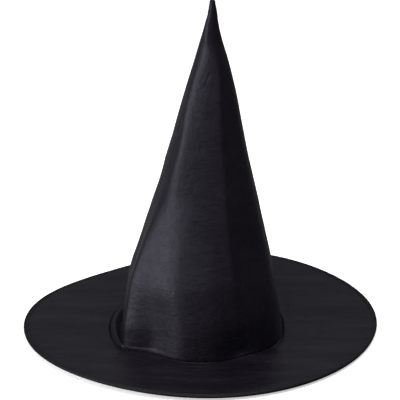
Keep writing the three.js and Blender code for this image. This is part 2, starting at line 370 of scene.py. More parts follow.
# Where the crown's cross-section turns more than a circle does: place round the cloth from the
# back seam, share of the whole turn, and width in mm, each against height.
FOLDS = [
    # straight fold on the front right, which swings across the front near the tip
    (
        track([0, 57, 93, 119, 156, 209, 246, 278, 296, 316, 325, 332, 337, 343, 352, 380],
              [0.566, 0.5644, 0.562, 0.5586, 0.5535, 0.551, 0.549, 0.5470, 0.552, 0.554, 0.540, 0.507, 0.465, 0.420, 0.395, 0.39], 2.5),
        track([12, 40, 110, 300, 345, 372, 380], [0.06, 0.10, 0.13, 0.135, 0.11, 0.06, 0]),
        track([12, 60, 150, 300, 380], [4.0, 2.4, 1.7, 1.4, 1.2]),
    ),
    # soft ridge on the front left
    (
        track([0, 60, 76, 89, 114, 150, 176, 203, 220, 242, 264, 285, 306, 318, 330, 345, 380],
              [0.408, 0.407, 0.405, 0.402, 0.400, 0.392, 0.388, 0.391, 0.396, 0.392, 0.383, 0.375, 0.380, 0.392, 0.400, 0.396, 0.38], 5.0),
        track([30, 60, 80, 170, 300, 325, 345, 372, 380], [0.06, 0.09, 0.12, 0.13, 0.115, 0.06, 0.02, 0.01, 0]),
        track([12, 60, 90, 125, 150, 176, 203, 230, 280, 330, 380], [20, 18, 17, 15, 11, 6.5, 3.8, 2.8, 2.8, 2.8, 2.0]),
    ),
    # corner low on the left, over the rolled foot
    (track([0, 400], [0.292, 0.292]), track([12, 40, 90, 130], [0.17, 0.14, 0.03, 0.0]), track([12, 40, 90], [5.0, 7.0, 14.0])),
    # nearly flat beside it
    (track([0, 400], [0.348, 0.348]), track([12, 40, 90, 120], [-0.08, -0.06, -0.02, 0.0]), track([0, 400], [16.0, 16.0])),
    # far right
    (track([0, 400], [0.672, 0.672]), track([12, 60, 200, 300, 380], [0.05, 0.06, 0.045, 0.03, 0]), track([0, 200, 380], [7, 4, 2])),
    # back right: a ridge with a hollow beside it, from the base nearly to the tip
    (track([0, 400], [0.850, 0.850]), track([12, 60, 160, 300, 372, 380], [0.05, 0.11, 0.15, 0.13, 0.05, 0]), track([0, 100, 300, 380], [9, 4.0, 2.0, 1.2])),
    (track([0, 400], [0.888, 0.888]), track([12, 60, 160, 300, 360, 380], [0, -0.03, -0.05, -0.035, 0, 0]), track([0, 100, 300, 380], [10, 6.5, 3.5, 1.5])),
    # back left
    (track([0, 400], [0.165, 0.165]), track([12, 60, 160, 300, 372, 380], [0.05, 0.08, 0.10, 0.10, 0.05, 0]), track([0, 100, 300, 380], [12, 8, 3, 1.2])),
    # back seam
    (track([0, 400], [0.0, 0.0]), track([12, 60, 300, 370, 380], [0.01, 0.03, 0.04, 0.04, 0]), track([0, 400], [1.6, 1.6])),
]


def kernels(z):
    return [(u(z), a(z), w(z)) for u, a, w in FOLDS]


def section(z):
    """The crown's cross-section at a height: COLS points at equal steps of cloth, mm."""
    xl, xr = float(out_l(z)), float(out_r(z))
    per = math.pi * (xr - xl)
    u = (np.arange(FINE) + 0.5) / FINE
    turn = np.full(FINE, 1.0)
    for uc, a, w in kernels(z):
        w = max(w / per, 0.004)
        d = (u - uc + 0.5) % 1 - 0.5
        g = np.exp(-0.5 * (d / w) ** 2)
        g /= g.sum() / FINE
        turn += a * (g - 1)
    ang = math.pi + TAU * (np.cumsum(turn) - 0.5 * turn) / FINE
    step = np.stack([np.cos(ang), np.sin(ang)], -1) / FINE
    p = np.concatenate([[[0, 0]], np.cumsum(step, 0)])
    p = p[:-1] - np.linspace(0, 1, FINE + 1)[:-1, None] * p[-1]
    c = p - p.mean(0)
    # keep the seam at the back on average
    want = math.pi / 2 + TAU * np.arange(FINE) / FINE
    have = np.arctan2(c[:, 1], c[:, 0])
    off = np.angle(np.mean(np.exp(1j * (have - want))))
    co, si = math.cos(-off), math.sin(-off)
    c = c @ np.array([[co, si], [-si, co]])
    lo, hi = c[:, 0].min(), c[:, 0].max()
    sx = (xr - xl) / (hi - lo)
    x = xl + (c[:, 0] - lo) * sx
    # the foot is deeper from front to back than it is wide, and sits a little forward
    low = 1 - smooth(20, 150, z)
    y = c[:, 1] * per * (1 + 0.065 * low)
    y -= (y.max() + y.min()) / 2 + 5.0 * low
    pick = (np.arange(COLS) * FINE / COLS).astype(int)
    return np.stack([x[pick], y[pick]], -1)


# Foot of the crown. From the seam the cloth runs in over the brim and turns up into the wall: as a
# plain flare nearly everywhere, as a rolled fold with a hollow behind it on the left.
ROLL = wrap_spline(
    [0, 40, 80, 120, 137, 150, 165, 180, 195, 210, 222, 231, 240, 270, 300, 318, 330, 345],
    [0.0, 0.0, 0.0, 0.1, 0.55, 0.9, 1.0, 1.0, 1.0, 0.9, 0.45, 0.35, 0.1, 0.0, 0.0, 0.0, 0.05, 0.05],
)

# how much of the way the wall beside the seam follows the seam's shape
LEAN = wrap_spline([0, 60, 120, 165, 180, 192, 212, 222, 235, 270, 305, 330], [0.6, 0.5, 0.3, 0.1, 0.6, 0.97, 1.0, 1.0, 0.97, 0.97, 0.95, 0.75])

BASE_TOP = 30.0  # above this height the wall follows the cross-sections
LEDGE_ROWS = 34


def crown_rows():
    """Rows of points from the seam to the tip: array rows x COLS x 3, and the row where the wall
    above the foot begins."""
    heights = np.concatenate([
        np.linspace(BASE_TOP, 60, 12, endpoint=False),
        np.linspace(60, 300, 84, endpoint=False),
        np.linspace(300, 360, 30, endpoint=False),
        np.linspace(360, TIP_Z, 15),
    ])
    wall = []
    for z in heights:
        s = section(z)
        wall.append(np.concatenate([s, np.full((COLS, 1), z)], 1))
    wall = np.array(wall)
    # low down the wall leans towards the shape of the seam it is sewn to
    th0 = np.degrees(np.arctan2(wall[0][:, 1], wall[0][:, 0]))
    goal = SEAM(th0) - 2.6
    # ... but straight from back to front along the left, behind the rolled fold
    side = 84.3 / np.maximum(-np.cos(th0 * D2R), 0.2)
    goal = -1.6 * np.log(np.exp(-(goal - 90) / 1.6) + np.exp(-(side - 90) / 1.6)) + 90
    want = (goal - np.hypot(wall[0][:, 0], wall[0][:, 1])) * np.clip(LEAN(th0), 0, 1)
    fade = np.clip((175 - wall[:, :, 2]) / (175 - BASE_TOP), 0, 1)
    fade = 1.15 * fade**2 / (fade + 0.15)
    rr = np.hypot(wall[..., 0], wall[..., 1])
    wall[..., :2] *= (1 + want[None] * fade / rr)[..., None]
    first = wall[0]
    second = wall[1]
    # the foot, column by column: a spline from the seam to the first row of the wall
    top = first
    # angle of each column on the foot: the wall's own polar angle there
    th = np.degrees(np.arctan2(top[:, 1], top[:, 0]))
    rs = SEAM(th)
    sx, sy = rs * np.cos(th * D2R), rs * np.sin(th * D2R)
    lift = brim_wave(sx, sy)
    r_top = np.hypot(top[:, 0], top[:, 1])
    slope = (np.hypot(second[:, 0], second[:, 1]) - r_top) / (second[:, 2] - top[:, 2])
    slope = slope * (1 - np.clip(ROLL(th), 0, 1))

    def wall_r(h):
        return r_top + slope * (h - top[:, 2])

    ctrl = [np.stack([rs, Z_TOP + 0.35 + lift], -1)]
    k = np.clip(ROLL(th), 0, 1)[:, None]
    gap = rs - wall_r(8)
    flare = [
        np.stack([rs - 0.42 * gap, lift + 5.4 + 0 * rs], -1),
        np.stack([wall_r(12) + 0.16 * gap, lift + 9.0 + 0 * rs], -1),
        np.stack([wall_r(18) + 0.03 * gap, lift + 15.0 + 0 * rs], -1),
    ]
    roll = [
        np.stack([rs - 0.30 * gap, lift + 8.8 + 0 * rs], -1),
        np.stack([wall_r(8) + 0.14 * gap, lift + 3.8 + 0 * rs], -1),
        np.stack([wall_r(14) - 0.02 * gap, lift + 11.0 + 0 * rs], -1),
    ]
    for f, g in zip(flare, roll):
        ctrl.append(f * (1 - k) + g * k)
    ctrl.append(np.stack([wall_r(24.5), 0 * rs + 24.5], -1))
    ctrl.append(np.stack([r_top, top[:, 2]], -1))
    ctrl = np.array(ctrl)  # 6 x COLS x 2
    end = np.stack([r_top + slope * 6, top[:, 2] + 6], -1)
    start = ctrl[0] * 2 - ctrl[1]
    pts = np.concatenate([[start], ctrl, [end]])
    foot = []
    n = len(ctrl) - 1
    # centripetal Catmull-Rom, sampled by length so that rows are even
    dense = []
    for s in range(n):
        p0, p1, p2, p3 = pts[s], pts[s + 1], pts[s + 2], pts[s + 3]
        d01 = np.sqrt(np.linalg.norm(p1 - p0, axis=-1))[:, None] + 1e-6
        d12 = np.sqrt(np.linalg.norm(p2 - p1, axis=-1))[:, None] + 1e-6
        d23 = np.sqrt(np.linalg.norm(p3 - p2, axis=-1))[:, None] + 1e-6
        t0, t1 = 0, d01
        t2, t3 = t1 + d12, t1 + d12 + d23
        for q in np.linspace(0, 1, 14, endpoint=(s == n - 1)):
            t = t1 + (t2 - t1) * q
            a1 = (t1 - t) / (t1 - t0) * p0 + (t - t0) / (t1 - t0) * p1
            a2 = (t2 - t) / (t2 - t1) * p1 + (t - t1) / (t2 - t1) * p2
            a3 = (t3 - t) / (t3 - t2) * p2 + (t - t2) / (t3 - t2) * p3
            b1 = (t2 - t) / (t2 - t0) * a1 + (t - t0) / (t2 - t0) * a2
            b2 = (t3 - t) / (t3 - t1) * a2 + (t - t1) / (t3 - t1) * a3
            dense.append((t2 - t) / (t2 - t1) * b1 + (t - t1) / (t2 - t1) * b2)
    dense = np.array(dense)  # m x COLS x 2
    seg = np.linalg.norm(np.diff(dense, axis=0), axis=-1)
    length = np.concatenate([np.zeros((1, COLS)), np.cumsum(seg, 0)])
    for i in range(LEDGE_ROWS):
        q = i / LEDGE_ROWS
        want = length[-1] * q
        row = np.empty((COLS, 2))
        for j in range(COLS):
            row[j, 0] = np.interp(want[j], length[:, j], dense[:, j, 0])
            row[j, 1] = np.interp(want[j], length[:, j], dense[:, j, 1])
        foot.append(np.stack([row[:, 0] * np.cos(th * D2R), row[:, 0] * np.sin(th * D2R), row[:, 1]], -1))
    return np.concatenate([np.array(foot), wall]), LEDGE_ROWS


def grid_normals(p):
    """Outward normals of a closed rows x cols grid."""
    du = np.roll(p, -1, 1) - np.roll(p, 1, 1)
    dv = np.gradient(p, axis=0)
    n = np.cross(du, dv)
    n /= np.linalg.norm(n, axis=-1)[..., None] + 1e-12
    c = p.mean(1, keepdims=True)
    out = ((p - c) * n)[..., :2].sum(-1)
    return -n if out.mean() < 0 else n


CROWN, WALL_ROW = crown_rows()
ROWS = len(CROWN)
_u = np.arange(COLS) / COLS
_len = np.concatenate([[0], np.cumsum(np.linalg.norm(np.diff(CROWN, axis=0), axis=-1).mean(1))])


def crown_wrinkles(p):
    """Moves the crown's points along their normals by its folds, puckers and small creases."""
    n = grid_normals(p)
    z = p[..., 2]
    u = np.broadcast_to(_u[None], z.shape)
    s = np.broadcast_to(_len[:, None], z.shape)  # distance up the cloth from the seam
    r = np.hypot(p[..., 0] - p[..., 0].mean(1, keepdims=True), p[..., 1] - p[..., 1].mean(1, keepdims=True))
    per = TAU * r
    d = 0.0
    up = smooth(14, 40, s)
    tip = 1 - smooth(330, 372, z)
    # slack: long soft waves up and down the cone
    d = d + up * tip * 0.55 * noise2(u * 9, s / 95 + 0.3, 11, 9) * (r / 60).clip(0.25, 1)
    d = d + up * tip * 0.22 * noise2(u * 22, s / 42 + 0.7, 12, 22) * (r / 60).clip(0.2, 1)
    d = d + up * tip * 0.13 * noise2(u * 60, s / 11 + 0.2, 13, 60) * (r / 60).clip(0.35, 1)
    # gathers just above the seam
    g = np.exp(-(((s - 13) / 9.0) ** 2))
    d = d + g * 0.32 * noise2(u * 64, s / 26 + 3.3, 14, 64)
    # back seam: the stitched groove, and puckers beside it
    du = ((u + 0.5) % 1 - 0.5) * per
    d = d - 0.75 * np.exp(-((du / 0.9) ** 2)) + 0.35 * np.exp(-(((np.abs(du) - 2.4) / 1.6) ** 2))
    d = d + 0.34 * np.exp(-np.abs(du) / 7.0) * noise2(s / 8.5, u * 0 + 2.5, 15) * smooth(0.3, 2.0, np.abs(du))
    # small pinch on the left, high up, and pulls near the tip
    def mark(u0, s_or_z, length, width, amp, lean=0.0):
        nonlocal d
        across = (((u - u0 + 0.5) % 1) - 0.5) * per - lean * (z - s_or_z)
        along = z - s_or_z
        d = d + amp * np.exp(-((across / width) ** 2) - (along / length) ** 2)

    mark(0.352, 252, 9, 1.5, -0.95, 0.12)
    mark(0.374, 256, 9, 1.6, 0.55, 0.12)
    mark(0.325, 246, 11, 1.9, 0.5, 0.10)
    mark(0.345, 232, 6, 2.2, 0.5, 0.6)
    mark(0.330, 214, 14, 1.6, 0.45, -0.05)
    mark(0.365, 270, 7, 2.0, 0.45, -0.4)
    mark(0.395, 276, 6, 1.6, -0.4, -0.5)
    mark(0.300, 178, 12, 2.6, -0.6, 0.3)
    mark(0.318, 196, 8, 2.0, 0.5, 0.5)
    mark(0.470, 300, 9, 1.3, -0.25, 0.35)
    mark(0.640, 303, 8, 1.2, -0.5, -0.45)
    mark(0.665, 300, 8, 1.2, 0.45, -0.45)
    mark(0.700, 308, 8, 1.2, -0.45, -0.4)
    mark(0.610, 312, 7, 1.0, 0.35, -0.4)
    mark(0.380, 334, 4, 1.2, 0.55, 0.5)
    mark(0.350, 339, 4, 1.2, -0.5, 0.4)
    mark(0.120, 296, 20, 2.0, -0.5, 0.2)
    mark(0.200, 210, 30, 4.0, -0.6, 0.25)
    mark(0.800, 170, 40, 4.0, -0.7, -0.25)
    mark(0.930, 120, 30, 4.5, -0.6, 0.35)
    mark(0.070, 80, 26, 4.5, -0.6, -0.3)
    # the gathered cloth of the tip
    t = smooth(352, 376, z)
    d = d + t * 0.60 * noise2(u * 7, z / 4.4, 16, 7) + t * 0.42 * noise2(u * 13, z / 2.0, 17, 13)
    return p + n * d[..., None]


CROWN = crown_wrinkles(CROWN)
NORMAL = grid_normals(CROWN)


def crown_offset(depth):
    """The crown's grid moved in by depth mm."""
    return CROWN - NORMAL * depth


# --------------------------------------------------------------------------------------------
# Materials
# --------------------------------------------------------------------------------------------


class Nodes:
    """A small helper for building a material's nodes."""

    def __init__(self, name):
        self.m = bpy.data.materials.new(name)
        self.m.use_nodes = True
        self.t = self.m.node_tree
        self.t.nodes.clear()
        self.out = self.t.nodes.new("ShaderNodeOutputMaterial")
        self.b = self.t.nodes.new("ShaderNodeBsdfPrincipled")
        self.t.links.new(self.b.outputs[0], self.out.inputs[0])

    def node(self, kind, **props):
        n = self.t.nodes.new("ShaderNode" + kind)
        for k, v in props.items():
            if k.startswith("in_"):
                continue
            setattr(n, k, v)
        return n

    def link(self, a, b):
        self.t.links.new(a, b)

    def uv(self, sx, sy, rot=0.0):
        u = self.node("UVMap", uv_map="Cloth")
        m = self.node("Mapping")
        m.inputs["Scale"].default_value = (sx, sy, 1)
        m.inputs["Rotation"].default_value = (0, 0, rot)
        self.link(u.outputs[0], m.inputs["Vector"])
        return m.outputs[0]

    def obj(self, scale):
        c = self.node("TexCoord")
        m = self.node("Mapping")
        m.inputs["Scale"].default_value = scale
        self.link(c.outputs["Object"], m.inputs["Vector"])
        return m.outputs[0]

    def noise(self, vec, scale, detail=3.0, rough=0.5, dist=0.0):
        n = self.node("TexNoise")
        n.inputs["Scale"].default_value = scale
        n.inputs["Detail"].default_value = detail
        n.inputs["Roughness"].default_value = rough
        n.inputs["Distortion"].default_value = dist
        self.link(vec, n.inputs["Vector"])
        return n.outputs["Fac"]

    def wave(self, vec, scale, direction="X", distortion=0.0, dscale=1.0):
        n = self.node("TexWave", wave_type="BANDS", bands_direction=direction, wave_profile="SIN")
        n.inputs["Scale"].default_value = scale
        n.inputs["Distortion"].default_value = distortion
        n.inputs["Detail"].default_value = 1.0
        n.inputs["Detail Scale"].default_value = dscale
        self.link(vec, n.inputs["Vector"])
        return n.outputs["Fac"]

    def math(self, op, a, b=None, clamp=False):
        n = self.node("Math", operation=op, use_clamp=clamp)
        for i, v in enumerate((a, b)):
            if v is None:
                continue
            if hasattr(v, "links"):
                self.link(v, n.inputs[i])
            else:
                n.inputs[i].default_value = v
        return n.outputs[0]

    def ramp(self, fac, stops):
        n = self.node("ValToRGB")
        el = n.color_ramp.elements
        el[0].position, el[0].color = stops[0][0], (*stops[0][1], 1)
        el[1].position, el[1].color = stops[-1][0], (*stops[-1][1], 1)
        for p, c in stops[1:-1]:
            e = el.new(p)
            e.color = (*c, 1)
        self.link(fac, n.inputs[0])
        return n.outputs[0]

    def mapr(self, fac, lo, hi, a=0.0, b=1.0):
        n = self.node("MapRange")
        n.inputs["From Min"].default_value = a
        n.inputs["From Max"].default_value = b
        n.inputs["To Min"].default_value = lo
        n.inputs["To Max"].default_value = hi
        self.link(fac, n.inputs["Value"])
        return n.outputs[0]

    def bump(self, height, distance, strength=1.0, normal=None):
        n = self.node("Bump")
        n.inputs["Distance"].default_value = distance
        n.inputs["Strength"].default_value = strength
        self.link(height, n.inputs["Height"])
        if normal is not None:
            self.link(normal, n.inputs["Normal"])
        return n.outputs[0]


def satin_cloth(name, tone=1.0, warp_rot=0.0, streak=0.35, rough_lo=0.36, rough_hi=0.60):
    """Plain-woven satin-finish polyester: near black, slightly violet, with a bluish shine."""
    k = Nodes(name)
    b = k.b
    uv = k.uv(1, 1, warp_rot)
    # threads about half a millimetre apart, crossing over and under
    warp = k.wave(uv, 1000 / 0.52 / TAU * 1.0, "X", 0.6, 0.4)
    weft = k.wave(uv, 1000 / 0.58 / TAU * 1.0, "Y", 0.6, 0.4)
    over = k.math("GREATER_THAN", k.math("MULTIPLY", k.math("SUBTRACT", warp, 0.5), k.math("SUBTRACT", weft, 0.5)), 0.0)
    weave = k.math("ADD", k.math("MULTIPLY", warp, over), k.math("MULTIPLY", weft, k.math("SUBTRACT", 1.0, over)))
    # slubs: thicker stretches of thread, long in the weft direction and short in the warp
    slub_uv = k.uv(90, 1500, warp_rot)
    slub = k.noise(slub_uv, 1.0, 2.0, 0.6)
    slub2_uv = k.uv(1300, 120, warp_rot)
    slub2 = k.noise(slub2_uv, 1.0, 2.0, 0.6)
    mottle = k.noise(uv, 160.0, 4.0, 0.62)
    broad = k.noise(uv, 14.0, 3.0, 0.55)
    mix = k.math("ADD", k.math("MULTIPLY", slub, 0.45), k.math("MULTIPLY", slub2, 0.25))
    mix = k.math("ADD", mix, k.math("MULTIPLY", mottle, 0.2))
    mix = k.math("ADD", mix, k.math("MULTIPLY", broad, 0.25))
    # old creases have rubbed the cloth lighter and darker in long soft streaks
    rubbed = k.noise(k.uv(9, 46, warp_rot), 1.0, 4.0, 0.6)
    mix = k.math("ADD", mix, k.math("MULTIPLY", k.math("SUBTRACT", rubbed, 0.5), streak))
    lo = [c * tone for c in (0.0019, 0.0014, 0.0028)]
    mid = [c * tone for c in (0.0036, 0.0028, 0.0049)]
    hi = [c * tone for c in (0.0068, 0.0060, 0.0092)]
    col = k.ramp(mix, [(0.30, lo), (0.56, mid), (0.80, hi)])
    k.link(col, b.inputs["Base Color"])
    rough = k.mapr(k.math("ADD", k.math("MULTIPLY", slub, 0.6), k.math("MULTIPLY", mottle, 0.4)), rough_lo, rough_hi, 0.3, 0.7)
    k.link(rough, b.inputs["Roughness"])
    b.inputs["Specular IOR Level"].default_value = 0.22
    b.inputs["Specular Tint"].default_value = (0.84, 0.82, 1.0, 1)
    b.inputs["Sheen Weight"].default_value = 0.006
    b.inputs["Sheen Roughness"].default_value = 0.42
    b.inputs["Sheen Tint"].default_value = (0.80, 0.80, 1.0, 1)
    fine = k.math("ADD", k.math("MULTIPLY", weave, 0.6), k.math("MULTIPLY", slub, 0.9))
    n1 = k.bump(fine, 0.00010, 0.55)
    n2 = k.bump(k.noise(uv, 210.0, 3.0, 0.6), 0.00065, 0.6, n1)
    n3 = k.bump(rubbed, 0.0019 * streak, 0.7, n2)
    k.link(n3, b.inputs["Normal"])
    return k.m


def tape_cloth(name):
    """Matt ribbed bias tape."""
    k = Nodes(name)
    b = k.b
    v = k.obj((1, 1, 1))
    n = k.noise(v, 900.0, 2.0, 0.6)
    broad = k.noise(v, 45.0, 3.0, 0.5)
    f = k.math("ADD", k.math("MULTIPLY", n, 0.6), k.math("MULTIPLY", broad, 0.4))
    col = k.ramp(f, [(0.32, (0.0016, 0.0013, 0.0024)), (0.7, (0.0040, 0.0034, 0.0054))])
    k.link(col, b.inputs["Base Color"])
    k.link(k.mapr(n, 0.50, 0.72, 0.3, 0.7), b.inputs["Roughness"])
    b.inputs["Specular IOR Level"].default_value = 0.16
    b.inputs["Sheen Weight"].default_value = 0.004
    b.inputs["Sheen Roughness"].default_value = 0.5
    b.inputs["Sheen Tint"].default_value = (0.8, 0.8, 1.0, 1)
    k.link(k.bump(n, 0.00016, 0.7), b.inputs["Normal"])
    return k.m


def felt(name):
    """Non-woven interlining: flat black fibre web with pressed dots."""
    k = Nodes(name)
    b = k.b
    v = k.obj((1, 1, 1))
    fib = k.noise(v, 520.0, 5.0, 0.7, 1.4)
    dots = k.node("TexVoronoi", feature="F1")
    dots.inputs["Scale"].default_value = 620.0
    k.link(v, dots.inputs["Vector"])
    dot = k.mapr(dots.outputs["Distance"], 0.0, 1.0, 0.0, 0.55)
    f = k.math("ADD", k.math("MULTIPLY", fib, 0.75), k.math("MULTIPLY", dot, 0.25))
    col = k.ramp(f, [(0.3, (0.0028, 0.0026, 0.0036)), (0.75, (0.0085, 0.0080, 0.0105))])
    k.link(col, b.inputs["Base Color"])
    k.link(k.mapr(fib, 0.86, 0.98, 0.3, 0.7), b.inputs["Roughness"])
    b.inputs["Specular IOR Level"].default_value = 0.2
    b.inputs["Sheen Weight"].default_value = 0.04
    b.inputs["Sheen Roughness"].default_value = 0.7
    k.link(k.bump(f, 0.00025, 0.8), b.inputs["Normal"])
    return k.m


def thread_mat(name):
    """Spun polyester thread with a twist."""
    k = Nodes(name)
    b = k.b
    v = k.obj((1, 1, 1))
    ply = k.wave(k.obj((1, 0.6, 1.3)), 900.0, "DIAGONAL", 1.5, 2.0)
    n = k.noise(v, 1500.0, 2.0, 0.6)
    f = k.math("ADD", k.math("MULTIPLY", ply, 0.6), k.math("MULTIPLY", n, 0.4))
    col = k.ramp(f, [(0.2, (0.0035, 0.0032, 0.0050)), (0.85, (0.0130, 0.0120, 0.0165))])
    k.link(col, b.inputs["Base Color"])
    k.link(k.mapr(n, 0.42, 0.60, 0.3, 0.7), b.inputs["Roughness"])
    b.inputs["Specular IOR Level"].default_value = 0.5
    b.inputs["Sheen Weight"].default_value = 0.05
    k.link(k.bump(f, 0.00008, 0.8), b.inputs["Normal"])
    return k.m


def steel_mat(name, rolled=True):
    """Drawn spring steel, faintly blued, with drawing lines along it."""
    k = Nodes(name)
    b = k.b
    v = k.obj((1, 1, 6) if rolled else (1, 1, 1))
    lines = k.noise(v, 700.0, 3.0, 0.65)
    spots = k.noise(k.obj((1, 1, 1)), 160.0, 4.0, 0.6)
    f = k.math("ADD", k.math("MULTIPLY", lines, 0.55), k.math("MULTIPLY", spots, 0.45))
    col = k.ramp(f, [(0.25, (0.26, 0.27, 0.30)), (0.6, (0.42, 0.43, 0.45)), (0.85, (0.52, 0.50, 0.47))])
    k.link(col, b.inputs["Base Color"])
    b.inputs["Metallic"].default_value = 1.0
    k.link(k.mapr(f, 0.24, 0.46, 0.3, 0.75), b.inputs["Roughness"])
    k.link(k.bump(lines, 0.00004, 0.5), b.inputs["Normal"])
    return k.m


M_CROWN = satin_cloth("crown satin", 1.0, 0.0)
M_BRIM = satin_cloth("brim satin", 1.0, 0.0, 1.3, 0.27, 0.46)
M_TAPE = tape_cloth("bias tape")
M_FELT = felt("interlining web")
M_THREAD = thread_mat("spun thread")
M_STEEL = steel_mat("spring steel")
M_SLEEVE = steel_mat("sleeve steel", False)


def paint(ob, material):
    ob.data.materials.clear()
    ob.data.materials.append(material)
    return ob


# --------------------------------------------------------------------------------------------
# Crown cloth
# --------------------------------------------------------------------------------------------

SECTOR = 83.0 * D2R  # the cloth is a sector of a circle with this angle
APEX_Z = 393.0  # length of cloth from the seam to the point


def crown_uv(rows, s, u):
    """Where a point of the crown lies on the flat sector, in metres."""
    rho = (APEX_Z - s) * MM
    phi = (u - 0.5) * SECTOR
    return np.stack([rho * np.sin(phi), rho * np.cos(phi)], -1)


def build_crown():
    p = CROWN
    # the seam edge turns under, into the allowance inside
    rows = []
    s_rows = []
    fold_r = 0.35
    allowance = 8.0
    below = 1.05
    n0 = NORMAL[0]
    # allowance: points of the crown's own lower rows, moved in
    base = crown_offset(below)
    arc = _len
    k = int(np.searchsorted(arc, allowance))
    for i in range(k, 0, -2):
        rows.append(base[i])
        s_rows.append(-arc[i])
    # the U turn at the seam
    out_dir = CROWN[0] - CROWN[1]
    out_dir /= np.linalg.norm(out_dir, axis=-1)[:, None]
    for a in (150, 120, 90, 60, 30):
        c, s = math.cos(a * D2R), math.sin(a * D2R)
        mid = CROWN[0] - n0 * below / 2
        rows.append(mid + n0 * (below / 2) * c + out_dir * s * fold_r)
        s_rows.append(-0.4)
    rows = np.array(rows)
    full = np.concatenate([rows, p])
    s_all = np.concatenate([s_rows, _len])
    # close the tip with small rings that gather to a point
    top = p[-1]
    c = top.mean(0)
    caps = []
    for f, dz in ((0.86, 1.0), (0.62, 1.9), (0.34, 2.4)):
        ring = c + (top - c) * f
        ring[:, 2] = top[:, 2] + dz + 0.35 * noise2(_u * 7, f * 3.0, 21, 7)
        caps.append(ring)
    full = np.concatenate([full, np.array(caps)])
    s_all = np.concatenate([s_all, _len[-1] + np.array([1.5, 2.6, 3.6])])
    nr = len(full)
    # columns: the two edges meet at the back seam and turn in as a pair of allowances
    cols = COLS
    fin = 5
    ext = []
    uu = []
    fin_len = np.interp(s_all, [-20, 0, 8, 300, 350, 372], [0, 0, 5.0, 5.0, 2.5, 0])
    nrm = grid_normals(full)
    tang = np.roll(full, -1, 1) - full
    tang /= np.linalg.norm(tang, axis=-1)[..., None] + 1e-12
    left0 = full[:, 0] + tang[:, 0] * 0.204  # edge of the column at u = 0
    right0 = full[:, 0] - tang[:, 0] * 0.204
    grid = np.zeros((nr, cols + 2 * fin, 3))
    grid[:, fin] = left0 - nrm[:, 0] * 0.15
    grid[:, fin + 1 : fin + cols] = full[:, 1:]
    last = fin + cols
    grid[:, last] = right0 - nrm[:, 0] * 0.15
    for i in range(1, fin + 1):
        t = (i / fin) * fin_len
        spread = 0.0 + 0.10 * i
        if i <= fin:
            grid[:, fin - i] = left0 + tang[:, 0] * spread * 0.4 - nrm[:, 0] * (0.15 + t)[:, None]
            if last + i < cols + 2 * fin:
                grid[:, last + i] = right0 - tang[:, 0] * spread * 0.4 - nrm[:, 0] * (0.15 + t)[:, None]
    total = grid.shape[1]
    ucol = np.zeros(total)
    ucol[fin : fin + cols] = _u
    ucol[last:] = 1.0
    uv = np.zeros((nr, total, 2))
    for j in range(total):
        uv[:, j] = crown_uv(nr, s_all, np.full(nr, ucol[j]))
    for i in range(1, fin + 1):
        t = (i / fin) * fin_len * MM
        uv[:, fin - i, 0] -= t
        if last + i < total:
            uv[:, last + i, 0] += t
    ob = new_mesh("crown_cloth", grid.reshape(-1, 3), grid_faces(nr, total, False), uv.reshape(-1, 2))
    return ob, nr, total


crown, crown_nr, crown_nc = build_crown()
# the wall's faces look out
_p = crown.data.polygons[(crown_nr // 2) * (crown_nc - 1) + crown_nc // 2]
if _p.normal.dot(Vector((_p.center.x - 0.005, _p.center.y, 0))) < 0:
    crown.data.flip_normals()
solidify(crown, 0.40, 0.0)
paint(crown, M_CROWN)
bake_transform(crown)
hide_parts("crown_panel_lower", "crown_panel_fold", "crown_panel_tip")


# --------------------------------------------------------------------------------------------
# Brim cloths, interlining, wire, binding
# --------------------------------------------------------------------------------------------

BRIM_COLS = 384
_th = np.arange(BRIM_COLS) * 360 / BRIM_COLS


def brim_grid(z0, radii, relief=0.0, tuck=None):
    """Grid over the brim. radii are shares of the way from the seam to the rim panel's edge."""
    rows = []
    for t in radii:
        rs = SEAM(_th) + 0.75
        rr = RIM_R + RIM_DR(_th) - 3.2
        r = rs + (rr - rs) * t
        x, y = r * np.cos(_th * D2R), r * np.sin(_th * D2R)
        z = z0 + brim_wave(x, y) + (relief * brim_relief(x, y) if relief else 0)
        if tuck is not None:
            z = z + tuck(r - SEAM(_th))
        rows.append(np.stack([x, y, z], -1))
    return np.array(rows)


radii = np.concatenate([np.linspace(0, 0.06, 8, endpoint=False), np.linspace(0.06, 0.95, 66, endpoint=False), np.linspace(0.95, 1, 5)])
top_grid = brim_grid(Z_TOP, radii, 1.0, lambda d: -1.05 * np.exp(-(((d - 0.4) / 1.1) ** 2)))
brim_top = new_mesh(
    "brim_top_cloth", top_grid.reshape(-1, 3), grid_faces(len(radii), BRIM_COLS, True), top_grid.reshape(-1, 3)[:, :2] * MM
)
face_out(brim_top, lambda c: (0, 0, 1))
solidify(brim_top, 0.40, 0.0)
paint(brim_top, M_BRIM)
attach(brim_top, "hat")
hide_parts("brim_top_panel")


def crown_at(th):
    """For angles round the seam: the first rows of the crown's grid, interpolated by angle."""
    ang = np.degrees(np.arctan2(CROWN[0][:, 1], CROWN[0][:, 0]))
    a = np.mod(ang - 90, 360)
    o = np.argsort(a)
    q = np.mod(np.asarray(th) - 90, 360)
    a3 = np.concatenate([a[o] - 360, a[o], a[o] + 360])
    k = int(np.searchsorted(_len, 22.0))
    rows, nrms = [], []
    for i in range(k):
        c3 = np.concatenate([CROWN[i][o]] * 3)
        n3 = np.concatenate([NORMAL[i][o]] * 3)
        rows.append(np.stack([np.interp(q, a3, c3[:, c]) for c in range(3)], -1))
        nrms.append(np.stack([np.interp(q, a3, n3[:, c]) for c in range(3)], -1))
    rows, nrms = np.array(rows), np.array(nrms)
    nrms /= np.linalg.norm(nrms, axis=-1)[..., None]
    return rows, nrms


_rows, _nrms = crown_at(_th)


